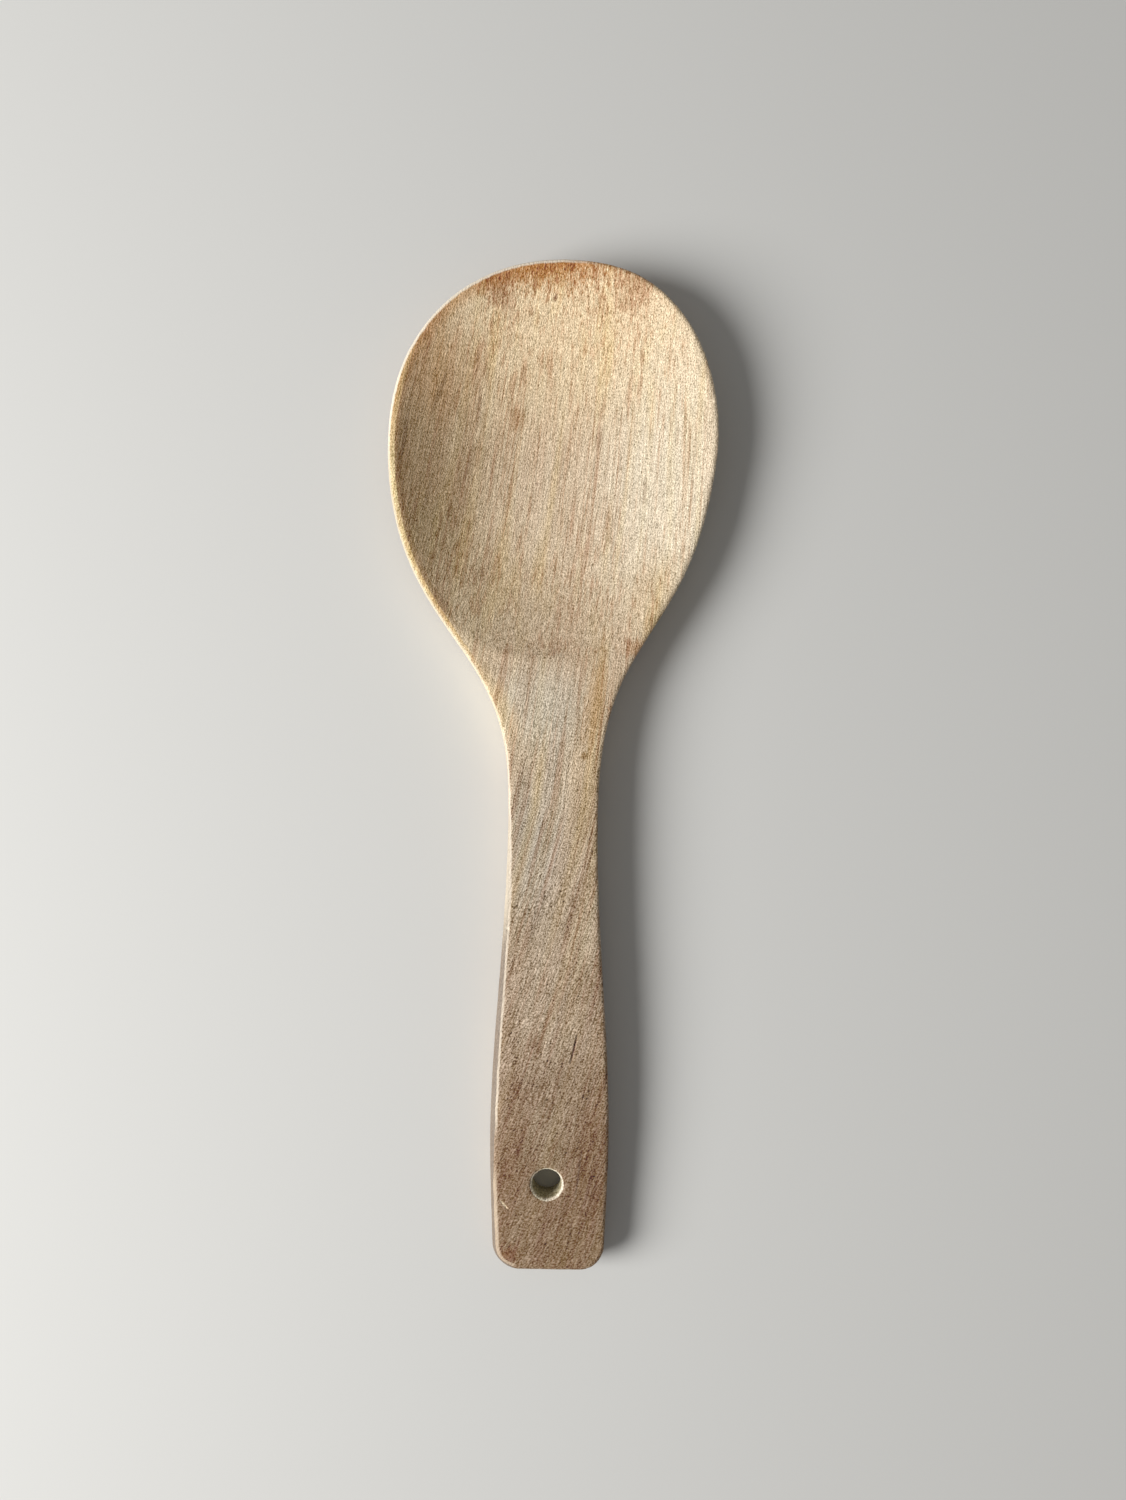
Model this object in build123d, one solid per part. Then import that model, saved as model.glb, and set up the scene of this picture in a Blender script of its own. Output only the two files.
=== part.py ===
"""Rice paddle: one board of wood, sawn to outline, bellied, dished, rounded over and drilled.

Millimetres. The paddle lies on its back, as it does on a table, with its dish up. +Y runs
along it towards the tip of the bowl, +X is across it and +Z is up. The origin is on the
table, in the middle of the length and of the width.
"""

import os
from math import sqrt

from build123d import *

# Length and outline
handle_length = 107.0  # end of the butt to the narrowest place of the neck
bowl_length = 123.0  # narrowest place of the neck to the tip
bowl_left_reach = 38.5  # from the handle's centreline to the left side, which is the fuller one
bowl_right_reach = 36.5
tip_offset = 2.0  # the end of the tip lies a little right of the centreline
neck_width = 20.5
waist_width = 24.7  # about half way down the handle
grip_width = 27.0  # at the hanging hole
butt_width = 25.4  # at the end, before its corners are rounded
butt_corner_radius = 6.2

# Side view, as heights over the table
butt_thickness = 6.9
rim_height = 10.1
tip_height = 13.1
arch_height = 1.0  # daylight under the handle
sole_setback = 17.0  # end of the butt to the flat that the handle rests on
toe_lift = 0.4  # of the underside at the end of the butt
planing_depth = 0.25  # taken off the round back to make the two flats that it rests on
wall_thickness = 3.7  # of the bowl, along its middle
tip_thickness = 3.0
edge_thickness = 3.8  # of the bowl's sides, where it is widest

# Dish
left_rim_width = 2.0
right_rim_width = 1.1
dish_setback = 33.0  # narrowest place of the neck to the dish's lower end
dish_skew = 1.6  # degrees that the dish is turned clockwise, seen from above

# Worked edges
top_edge_radius = 0.9
back_edge_bevel = 1.1

# Hanging hole
hole_diameter = 6.8
hole_setback = 20.3  # from the end of the butt
hole_offset = 0.4  # to the left of the centreline
hole_chamfer = 0.35

overrun = 6.0  # how far a cutting form passes what it cuts

# The bowl's outline: share of the bowl's length, then of its left and of its right reach
outline_shares = (
    (0.130, 0.308, 0.319),
    (0.228, 0.435, 0.421),
    (0.341, 0.683, 0.638),
    (0.455, 0.885, 0.841),
    (0.569, 0.982, 0.952),
    (0.683, 1.000, 1.000),
    (0.800, 0.928, 0.942),
    (0.894, 0.750, 0.788),
    (0.959, 0.498, 0.558),
)
# The dish: share of its length, then of its half width where it meets the rim
dish_shares = (
    (0.000, 0.000),
    (0.026, 0.390),
    (0.074, 0.570),
    (0.167, 0.740),
    (0.278, 0.875),
    (0.389, 0.953),
    (0.567, 1.000),
    (0.722, 0.944),
    (0.833, 0.824),
    (0.918, 0.660),
    (1.000, 0.400),
    (1.070, 0.150),
)
waist_share = 0.44  # of the handle's length, from the neck
grip_share = 0.79
arch_share = 0.3
belly_share = 0.53  # of the bowl's length, where the back is lowest
deepest_share = 0.567  # of the dish's length
worked_share = 0.9  # of an edge's height that its round-over and its bevel may take
upright_share = 0.3  # a side's normal rises or falls no more than this
curl_order = 5  # the upper side rises as this power of the way from the neck to the tip

overall_length = handle_length + bowl_length
butt_end = -overall_length / 2
neck_at = butt_end + handle_length
tip_end = neck_at + bowl_length
waist_at = neck_at - waist_share * handle_length
grip_at = neck_at - grip_share * handle_length
arch_at = neck_at - arch_share * handle_length
sole_at = butt_end + sole_setback
belly_at = neck_at + belly_share * bowl_length
centreline = (bowl_left_reach - bowl_right_reach) / 2
bowl_half_width = (bowl_left_reach + bowl_right_reach) / 2

dish_start = neck_at + dish_setback
dish_length = tip_end - dish_start
deepest_at = dish_start + deepest_share * dish_length
dish_centre = (left_rim_width - right_rim_width) / 2
dish_half_width = bowl_half_width - (left_rim_width + right_rim_width) / 2
dish_depth = rim_height - wall_thickness
dish_radius = (dish_half_width**2 + dish_depth**2) / (2 * dish_depth)
dish_axis_height = rim_height + dish_radius - dish_depth

back_drop = rim_height - edge_thickness
back_radius = (bowl_half_width**2 + back_drop**2) / (2 * back_drop)
back_bevel = min(back_edge_bevel, worked_share * edge_thickness - top_edge_radius)


def top_height(y):
    """Height of the upper side: it falls away to the butt and curls up to the tip."""
    if y < neck_at:
        return rim_height + (butt_thickness - rim_height) * ((neck_at - y) / handle_length) ** 2
    return rim_height + (tip_height - rim_height) * ((y - neck_at) / bowl_length) ** curl_order


def dish_stations():
    """Places along the dish, with the height of its floor that makes it as wide there as it should be."""
    for length_share, width_share in dish_shares:
        y = dish_start + length_share * dish_length
        height_to_axis = dish_axis_height - top_height(y)
        yield y, dish_axis_height - sqrt((width_share * dish_half_width) ** 2 + height_to_axis**2)


def handle_side(side):
    """Places along one side of the handle, from the butt to the neck."""
    places = ((butt_width, butt_end), (grip_width, grip_at), (waist_width, waist_at), (neck_width, neck_at))
    return [(centreline + side * width / 2, y) for width, y in places]


def sawn_board():
    """Board sawn to the outline seen from above, with the butt's corners rounded."""
    left_bowl = []
    right_bowl = []
    for length_share, left_share, right_share in outline_shares:
        y = neck_at + length_share * bowl_length
        left_bowl.append((centreline - left_share * bowl_left_reach, y))
        right_bowl.append((centreline + right_share * bowl_right_reach, y))
    tip = (centreline + tip_offset, tip_end)
    with BuildPart() as board:
        with BuildSketch(Plane.XY.offset(-overrun)):
            with BuildLine():
                left_butt, left_grip, *left_handle = handle_side(-1)
                right_butt, right_grip, *right_handle = handle_side(1)
                Polyline(left_grip, left_butt, right_butt, right_grip)
                sides = [left_grip, *left_handle, *left_bowl, tip]
                sides += [*reversed(right_bowl), *reversed(right_handle), right_grip]
                taper = (grip_width - butt_width) / 2 / (grip_at - butt_end)
                Spline(*sides, tangents=[(-taper, 1), (-taper, -1)], tangent_scalars=(1, 1))
            make_face()
        extrude(amount=tip_height + 2 * overrun)
        fillet(board.edges().filter_by(Axis.Z).group_by(Axis.Y)[0], butt_corner_radius)
    return board.part


def side_view():
    """All that lies under the upper side, as wide as the board."""
    start = butt_end - overrun
    end = tip_end + overrun
    half_slab = bowl_half_width + overrun
    before_tip = (deepest_at + tip_end) / 2
    places = (start, grip_at, waist_at, neck_at, dish_start, belly_at, deepest_at, before_tip, tip_end, end)
    heights = [(y, top_height(y)) for y in places]
    with BuildPart() as slab:
        with BuildSketch(Plane.YZ.offset(-half_slab)):
            with BuildLine():
                Spline(*heights)
                Polyline(heights[-1], (end, -overrun), (start, -overrun), heights[0])
            make_face()
        extrude(amount=2 * half_slab)
    return slab.part


def turned_form(profile, axis_height):
    """Round form turned about an axis that runs along the paddle at this height over the table."""
    first, last = profile[0], profile[-1]
    with BuildPart() as form:
        with BuildSketch(Plane.YZ):
            with BuildLine():
                Spline(*profile)
                Polyline(last, (last[0], axis_height), (first[0], axis_height), first)
            make_face()
        revolve(axis=Axis((0, 0, axis_height), (0, 1, 0)))
    return form.part


def round_back():
    """All that lies above the back, which is round across and follows the dish's floor to the tip."""
    spine = [
        (butt_end - overrun, toe_lift),
        (sole_at, -planing_depth),
        (arch_at, arch_height),
        (belly_at, -planing_depth),
    ]
    for y, floor in dish_stations():
        if y > deepest_at:
            share = (y - belly_at) / (tip_end - belly_at)
            spine.append((y, floor - wall_thickness + share * (wall_thickness - tip_thickness)))
    return turned_form([(y, 2 * back_radius - height) for y, height in spine], back_radius)


def dish():
    """Round-bottomed cutter, turned about an axis that runs along the bowl and a little across it."""
    stations = list(dish_stations())
    (start, brink), (second, floor) = stations[:2]
    lead_in = (2 * start - second, 2 * brink - floor)
    profile = [(y, 2 * dish_axis_height - height) for y, height in (lead_in, *stations)]
    cutter = turned_form(profile, dish_axis_height)
    skewed = cutter.rotate(Axis((0, deepest_at, 0), (0, 0, 1)), -dish_skew)
    return skewed.translate((dish_centre, 0, 0))


def hanging_hole():
    """Drill through the butt, with the small chamfer that takes the fur off each mouth."""
    y = butt_end + hole_setback
    top = top_height(y)
    bore = hole_diameter / 2
    mouth = bore + hole_chamfer
    half_drill = [
        (0, -overrun),
        (mouth + overrun, -overrun),
        (mouth, 0),
        (bore, hole_chamfer),
        (bore, top - hole_chamfer),
        (mouth, top),
        (mouth + overrun, top + overrun),
        (0, top + overrun),
    ]
    with BuildPart() as drill:
        with BuildSketch(Plane.XZ):
            with BuildLine():
                Polyline(*half_drill, close=True)
            make_face()
        revolve(axis=Axis.Z)
    return drill.part.translate((centreline - hole_offset, y, 0))


def edge_loop(board, upward):
    """The edges where the board's sides meet its upper side, or its back."""
    rises = [(face, face.normal_at(face.center()).Z) for face in board.faces()]
    side_edges = [edge for face, rise in rises if abs(rise) < upright_share for edge in face.edges()]
    loop = []
    for face, rise in rises:
        if upward * rise > 1 - upright_share:
            loop += [edge for edge in face.edges() if any(edge.is_same(other) for other in side_edges)]
    return loop


def paddle():
    """The whole paddle, in the order in which it is made."""
    board = (sawn_board() & side_view() & round_back()).solids()[0]
    board = board.chamfer(back_bevel, None, edge_loop(board, -1))
    board = board.fillet(top_edge_radius, edge_loop(board, 1))
    table_size = overall_length + overrun
    table = Box(table_size, table_size, overrun, align=(Align.CENTER, Align.CENTER, Align.MAX))
    return (board - table - dish() - hanging_hole()).solids()[0]


os.makedirs("parts", exist_ok=True)
export_step(paddle(), "parts/paddle.step")
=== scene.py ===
"""Rice paddle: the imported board, sanded smooth, worn and stained, on a plain studio floor.

Metres in Blender's own calls. Sizes that describe the wood are in millimetres, on the board as it
lies: +X across it, +Y along it towards the tip of the bowl, +Z up from the table.
"""

import logging
import math
from dataclasses import dataclass, field
from enum import Enum
from typing import Any

import bmesh
import bpy
import numpy as np
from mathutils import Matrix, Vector, noise
from mathutils.bvhtree import BVHTree
from mathutils.kdtree import KDTree


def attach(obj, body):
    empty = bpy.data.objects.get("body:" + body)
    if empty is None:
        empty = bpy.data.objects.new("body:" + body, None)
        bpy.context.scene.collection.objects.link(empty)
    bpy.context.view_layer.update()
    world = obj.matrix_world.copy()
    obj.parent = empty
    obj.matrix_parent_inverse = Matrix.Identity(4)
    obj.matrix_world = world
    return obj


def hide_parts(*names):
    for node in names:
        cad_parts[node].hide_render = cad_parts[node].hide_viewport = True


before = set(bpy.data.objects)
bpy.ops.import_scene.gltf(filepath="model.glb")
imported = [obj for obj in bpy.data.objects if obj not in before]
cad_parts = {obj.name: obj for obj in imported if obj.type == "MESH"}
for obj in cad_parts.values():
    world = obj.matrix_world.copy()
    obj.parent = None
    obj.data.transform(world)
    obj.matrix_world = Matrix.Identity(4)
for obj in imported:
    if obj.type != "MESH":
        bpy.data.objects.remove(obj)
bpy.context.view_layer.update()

MM = 0.001
PHOTO_HEIGHT = 1500
NECK_AT = -8.0  # the narrowest place of the board, in mm along it

# The Mix node's sockets for colours, which share their names with its other sockets
MIX_SHARE, MIX_UNDER, MIX_OVER, MIX_OUT = 0, 6, 7, 2

Colour = tuple[float, float, float, float]
Socket = bpy.types.NodeSocket
Tree = bpy.types.NodeTree

logging.basicConfig(level=logging.INFO, format="%(message)s")
log = logging.getLogger("rice_paddle")


def linear(hex_colour: str) -> Colour:
    """Turns an sRGB hex colour to the linear one that a shader takes, by the curve of that standard.

    Args:
        hex_colour: six hex digits, with or without a leading #.

    Returns:
        Red, green, blue and an alpha of 1.
    """
    digits = hex_colour.lstrip("#")
    shares = [int(digits[i : i + 2], 16) / 255 for i in (0, 2, 4)]
    red, green, blue = (s / 12.92 if s <= 0.04045 else ((s + 0.055) / 1.055) ** 2.4 for s in shares)
    return red, green, blue, 1.0


def add(tree: Tree, kind: str, inputs: dict[Any, Any] | None = None, **settings: Any) -> bpy.types.Node:
    """Adds a node with its settings, and links or fills its sockets.

    Args:
        tree: the material's or world's node tree.
        kind: the node's type name.
        inputs: a socket's name or number, with the value it takes or the output that feeds it.
        **settings: the node's own properties.

    Returns:
        The new node.
    """
    node = tree.nodes.new(kind)
    for name, value in settings.items():
        setattr(node, name, value)
    for socket, value in (inputs or {}).items():
        if isinstance(value, Socket):
            tree.links.new(value, node.inputs[socket])
        else:
            node.inputs[socket].default_value = value
    return node


class Blend(Enum):
    """How a colour joins the wood under it."""

    COVER = "MIX"
    SOAK = "MULTIPLY"


@dataclass(frozen=True)
class Stain:
    """A coloured place on the board, an ellipse whose edge follows the grain.

    x, y: its middle, in mm.
    across, along: its half sizes, in mm.
    colour: sRGB hex.
    strength: its share at the middle.
    lean: degrees that it leans to the right, seen from above.
    core: share of its size that is evenly strong.
    ragged: how much the grain breaks up its edge.
    """

    x: float
    y: float
    across: float
    along: float
    colour: str
    strength: float
    lean: float = 0.0
    core: float = 0.2
    ragged: float = 0.5


@dataclass(frozen=True)
class Figure:
    """One layer of the wood's figure: noise drawn out along the grain.

    width, length: size of its features across and along the grain, in mm.
    weight: how much it lightens and darkens the wood.
    detail: octaves.
    lean: degrees that it leans to the right of the grain, going up.
    seed: moves the pattern, so that no two match.
    """

    width: float
    length: float
    weight: float
    detail: float
    lean: float
    seed: float


@dataclass(frozen=True)
class Trace:
    """A colour that follows the board's edge, rim or bore.

    colour: sRGB hex.
    strength: its full share.
    limits: for each measure of the board that it follows, where it starts and where it is full.
    """

    colour: str
    strength: float
    limits: tuple[tuple[str, float, float], ...]


@dataclass(frozen=True)
class SandedHardwood:
    """Pale diffuse-porous hardwood, sawn, sanded by hand, bare, and worn by washing and hands.

    It gives the eye a fine sparkle of pores and rays over soft leaning bands, a dry sheen without
    gloss, a cream line along the left edge that is worn wood and painted highlight where the edge
    faces the lamp, a handle greyed and browned by handling and by painted shade that deepens towards
    the butt, painted shade in the left of the dish and painted light in its right, and an
    orange-brown stain at the tip. Real pores are about 0.1 mm wide, too fine to show, so they are
    drawn three times as wide.

    The board stores what the traces follow: arris, which is 0 at the outer and 1 at the inner side
    of the pale edge line of worn wood and painted highlight, left, which is 1 on the board's left side
    and -1 on its right, depth under the plane of the rim and station along the board, both in mm, and
    bore, 1 inside the hanging hole.

    ground: sRGB hex of the clean wood, most of which the zones cover.
    roughness, roughness_spread, fibre_range: of the dry surface, how far the fibres change it
        either way, and the values of their noise between which they do.
    ior: of wood.
    bump_strength, bump_depth: how the fibres and pores catch the light, the depth in mm.
    bands, bars, streaks: growth bands, brown bars and streaks along the grain, broad to narrow.
    hues: broad places where the wood is a little yellower or pinker.
    threads, fibres, specks: the sparkle's long threads, short fibres and pores.
    raised: where along the board the sparkle starts to change, where it has changed, and by how
        much, because washing has raised the grain of the handle and less so at the butt.
    greyness: share of the sparkle that is grey and hasn't the wood's own colour.
    tints, clear_at: colours of the bands, bars and streaks, each at its place on a scale, and where
        wood without any stands on it.
    casts, even_at: the same for the hues.
    lean, lean_across, lean_below: how far the grain leans to the right for each mm going up, how
        much that changes for each mm to the right, and how much more it leans below the neck.
    line_ragged: how uneven the bars make the edges of the traces.
    stain_level, stain_depth: height of the stains' middles, and half of how deep they go, in mm.
    zones: broad changes of the wood's colour, with painted shade in the left of the dish and towards
    the butt and painted light in the right of the dish, which the bands and bars break up.
    stains: smaller ones, from the tip to the butt, which the streaks and fibres break up.
    traces: colours along the rim, the tip and the bore, with painted shade in the dish inside the left
    rim and in the bore, which lie under the figure.
    rubbed: the pale line of the left edge, worn wood with painted highlight where it faces the lamp, and
    the flank beside it, paler at the neck and darker grey on the handle, partly grime and partly
    painted shade, which lie over it.
    """

    name: str = "sanded_hardwood"
    ground: str = "#dec9a8"
    roughness: float = 0.66
    roughness_spread: float = 0.06
    fibre_range: tuple[float, float] = (0.3, 0.7)
    ior: float = 1.5
    bump_strength: float = 0.6
    bump_depth: float = 0.16
    bands: Figure = Figure(6.0, 220.0, 0.5, 2.0, 0.0, 3.1)
    bars: Figure = Figure(1.6, 44.0, 0.68, 2.0, 1.0, 11.7)
    streaks: Figure = Figure(0.65, 20.0, 1.0, 2.0, 0.0, 19.3)
    hues: Figure = Figure(3.6, 70.0, 1.0, 1.0, 0.0, 63.1)
    threads: Figure = Figure(0.42, 12.0, 0.55, 1.0, 0.0, 51.7)
    fibres: Figure = Figure(0.3, 2.2, 0.35, 0.0, 6.0, 23.9)
    specks: Figure = Figure(0.26, 0.36, 1.25, 0.0, 15.0, 37.3)
    raised: tuple[tuple[float, float, float], ...] = ((20.0, 0.0, 1.22), (-62.0, -95.0, 0.75))
    greyness: float = 0.23
    tints: tuple[tuple[float, str], ...] = (
        (0.0, "#a98a73"),
        (0.4, "#e4d4c8"),
        (0.6, "#fbf8f4"),
        (1.0, "#ffffff"),
    )
    clear_at: float = 0.6
    casts: tuple[tuple[float, str], ...] = ((0.25, "#fcf6e4"), (0.5, "#fffefc"), (0.75, "#fcf7f4"))
    even_at: float = 0.5
    lean: float = 0.14
    lean_across: float = -0.003
    lean_below: float = 0.1
    line_ragged: float = 0.5
    stain_level: float = 11.0
    stain_depth: float = 40.0
    zones: tuple[Stain, ...] = (
        Stain(2.0, 24.0, 44.0, 40.0, "#c7b297", 0.8, ragged=0.2),
        Stain(4.0, 62.0, 30.0, 30.0, "#e1cdb2", 0.8, core=0.3, ragged=0.2),
        # paler right of the dish: partly the wood's colour, partly painted light on the wall that faces the lamp
        Stain(26.0, 66.0, 24.0, 58.0, "#ebdfc8", 0.8, ragged=0.2),
        Stain(2.0, 110.0, 60.0, 42.0, "#f7e0ba", 0.85, core=0.1, ragged=0.2),
        # darker browner left of the dish: partly the wood's colour, partly painted shade on the wall that faces
        # away from the lamp
        Stain(-32.0, 62.0, 24.0, 54.0, "#a18560", 0.8, core=0.1, ragged=0.3),
        # greyer handle and browner butt: partly wood darkened by handling, partly painted shade that deepens
        # towards the butt
        Stain(1.0, -60.0, 40.0, 75.0, "#b7a48d", 1.0, core=0.4, ragged=0.2),
        Stain(1.0, -115.0, 40.0, 58.0, "#8d755b", 0.95, core=0.4, ragged=0.3),
        Stain(-9.0, -74.0, 6.0, 44.0, "#8a6340", 0.28, core=0.3),
        Stain(11.0, -74.0, 7.0, 44.0, "#7a583a", 0.33, core=0.3),
        Stain(1.0, -84.0, 5.0, 18.0, "#a7957d", 0.45, ragged=0.6),
        Stain(-1.0, -34.0, 6.0, 16.0, "#a28a5f", 0.25, lean=18.0, ragged=0.8),
        Stain(6.0, -50.0, 4.0, 20.0, "#8f7560", 0.25, lean=16.0, ragged=0.8),
        Stain(0.0, -10.0, 6.0, 44.0, "#c4bbae", 0.5, lean=4.0),
        Stain(-19.0, 36.0, 14.0, 22.0, "#cdbb9b", 0.5, ragged=0.4),
        Stain(-26.0, 91.0, 12.0, 19.0, "#b8864f", 0.42, ragged=0.4),
        Stain(24.0, 38.0, 10.0, 17.0, "#c4a878", 0.4, ragged=0.4),
        Stain(-6.5, -8.0, 5.0, 15.0, "#9b8a76", 0.4, core=0.3),
        Stain(9.0, -9.0, 5.0, 15.0, "#9f8665", 0.4, core=0.3),
        Stain(9.0, -38.0, 5.0, 15.0, "#cdbfa9", 0.4, lean=12.0),
        Stain(2.0, -71.0, 16.0, 13.0, "#8d765e", 0.5),
        Stain(-4.0, 14.0, 20.0, 15.0, "#d1cab8", 0.6, ragged=0.4),
        Stain(-28.0, 54.0, 9.0, 13.0, "#b1a17d", 0.4, ragged=0.4),
        Stain(-5.0, -18.0, 5.0, 26.0, "#b7b4ab", 0.35),
        Stain(-13.5, 15.0, 6.0, 14.0, "#e3c796", 0.6, lean=-30.0, core=0.3, ragged=0.4),
    )
    stains: tuple[Stain, ...] = (
        Stain(-3.0, 119.5, 32.0, 14.0, "#b2721a", 0.92, core=0.4, ragged=0.55),
        Stain(-15.0, 112.5, 15.0, 5.5, "#95560c", 0.75, lean=62.0, core=0.1, ragged=0.6),
        Stain(19.0, 110.0, 13.0, 5.0, "#a96f33", 0.5, lean=-52.0, ragged=0.7),
        Stain(0.0, 107.0, 0.65, 1.2, "#7d4f26", 0.7, lean=12.0, core=0.3, ragged=0.3),
        Stain(-5.4, 104.2, 0.8, 1.6, "#a0703c", 0.5, core=0.3, ragged=0.3),
        Stain(-8.4, 80.8, 2.8, 4.4, "#a8783f", 0.5),
        Stain(-22.5, 83.9, 1.0, 3.2, "#a07648", 0.45, lean=10.0),
        Stain(-3.8, 66.0, 0.55, 0.7, "#6b4a30", 0.55, core=0.3, ragged=0.3),
        Stain(-16.7, 44.3, 1.9, 3.0, "#8a6845", 0.4, lean=12.0),
        Stain(-33.7, 75.0, 0.9, 8.5, "#6f5330", 0.5, lean=8.0, core=0.3),
        Stain(-26.1, 85.6, 0.8, 7.0, "#7d5c36", 0.5, lean=18.0, core=0.3),
        Stain(-19.4, 69.8, 0.9, 6.0, "#86653f", 0.45, lean=14.0, core=0.3),
        Stain(-17.2, 83.0, 0.8, 7.0, "#8a6642", 0.45, lean=4.0, core=0.3),
        Stain(-28.6, 62.0, 0.8, 6.5, "#7d5f3c", 0.45, lean=13.0, core=0.3),
        Stain(10.5, 76.8, 1.6, 4.0, "#98795a", 0.35),
        Stain(13.5, 57.0, 2.5, 9.0, "#a88562", 0.35, ragged=0.7),
        Stain(21.0, 64.0, 0.7, 5.5, "#8c6c50", 0.4, lean=4.0, ragged=0.7),
        Stain(17.4, 29.1, 1.2, 1.0, "#8a6038", 0.55, core=0.3, ragged=0.3),
        Stain(19.0, 27.6, 4.5, 3.2, "#ad7a46", 0.55, ragged=0.7),
        Stain(10.0, 14.5, 3.4, 15.0, "#c49e70", 0.55, lean=9.0),
        Stain(7.9, 3.2, 1.0, 1.3, "#8d6a2e", 0.75, core=0.4, ragged=0.3),
        Stain(12.9, 14.2, 0.4, 1.2, "#a5763f", 0.35, lean=-60.0, ragged=0.3),
        Stain(-9.3, -36.0, 0.8, 0.5, "#fbf2de", 0.8, core=0.4, ragged=0.2),
        Stain(-2.0, -63.2, 2.6, 4.0, "#805c3c", 0.4, ragged=0.8),
        Stain(-6.7, -72.9, 2.6, 4.6, "#805c3c", 0.4, ragged=0.8),
        Stain(-6.1, -87.1, 1.8, 2.4, "#6d482a", 0.5, ragged=0.6),
        Stain(-7.9, -111.0, 3.4, 3.8, "#7e4d22", 0.55, ragged=0.7),
        Stain(6.4, -63.3, 0.34, 3.4, "#643814", 0.85, lean=13.0, core=0.4, ragged=0.1),
        Stain(8.4, -50.6, 0.3, 6.2, "#8a5f45", 0.4, lean=9.0, ragged=0.3),
        Stain(7.7, -93.0, 0.4, 9.0, "#55402d", 0.5, lean=6.5),
        Stain(6.0, -107.0, 1.0, 5.5, "#5f442c", 0.4, lean=9.0, ragged=0.6),
        Stain(-9.1, -99.5, 0.3, 1.8, "#f3e2c2", 0.95, lean=-42.5, core=0.4, ragged=0.0),
        Stain(0.6, -94.7, 3.95, 3.95, "#f3eedd", 0.9, core=0.94, ragged=0.03),
    )
    traces: tuple[Trace, ...] = (
        Trace(  # brown strip in the dish, inside the left rim: partly the wood's colour, partly painted shade on the dish's wall
            "#8f7045",
            0.6,
            (
                ("arris", 2.7, 3.3),
                ("arris", 7.5, 5.0),
                ("station", 28.0, 38.0),
                ("station", 88.0, 74.0),
                ("left", 0.2, 0.6),
            ),
        ),
        Trace(  # left rim
            "#e8d5a4",
            0.9,
            (("arris", 3.5, 2.9), ("depth", 0.3, 0.15), ("station", 18.0, 40.0), ("left", -0.2, 0.5)),
        ),
        Trace(  # orange side of the lower left rim
            "#cfa76a",
            0.5,
            (
                ("arris", 3.5, 2.9),
                ("arris", 1.2, 2.0),
                ("station", 62.0, 46.0),
                ("station", 18.0, 32.0),
                ("left", 0.0, 0.5),
            ),
        ),
        Trace("#b9803f", 0.55, (("arris", 6.0, 1.5), ("station", 66.0, 84.0), ("left", 0.0, 0.3))),  # by the tip
        # painted shade inside the hanging hole: a darker olive on its wall
        Trace("#8f8763", 0.8, (("bore", 0.0, 1.0),)),
    )
    edge_wear_and_painted_light: tuple[Trace, ...] = (
        Trace(  # flank at the neck, which is paler
            "#c8bca8",
            0.8,
            (
                ("arris", 0.2, -0.15),
                ("left", 0.0, 0.4),
                ("station", -44.0, -32.0),
                ("station", 4.0, -6.0),
                ("depth", 3.2, 2.2),
            ),
        ),
        Trace(  # flank of the handle, darker grey: partly grime, partly painted shade of its steep side
            "#7d7165",
            0.8,
            (("arris", 0.2, -0.15), ("left", 0.0, 0.4), ("station", -28.0, -44.0), ("depth", 3.2, 2.2)),
        ),
        Trace(  # pale line along the tip: worn wood and painted highlight where the edge faces the lamp
            "#f3e8d4",
            0.85,
            (("station", 58.0, 80.0), ("arris", 1.3, 0.7), ("left", -0.25, 0.05), ("depth", 3.6, 2.8)),
        ),
        Trace(  # line along the bowl's left edge: worn wood and painted highlight where it faces the lamp
            "#eadcc0",
            0.65,
            (("station", 80.0, 58.0), ("station", 0.0, 16.0), ("arris", 1.2, 0.5), ("left", 0.02, 0.3)),
        ),
        Trace(  # line along the handle's left edge: worn wood and painted highlight where it faces the lamp
            "#e6d6c0",
            0.8,
            (
                ("station", 16.0, 0.0),
                ("station", -86.0, -78.0),
                ("arris", -0.2, 0.2),
                ("arris", 1.3, 0.8),
                ("left", 0.02, 0.3),
            ),
        ),
        Trace(  # line along the butt's left edge: worn wood and painted highlight where it faces the lamp
            "#cdb89e",
            0.7,
            (("station", -88.0, -96.0), ("arris", -0.2, 0.2), ("arris", 1.3, 0.8), ("left", 0.02, 0.3)),
        ),
    )

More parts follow.
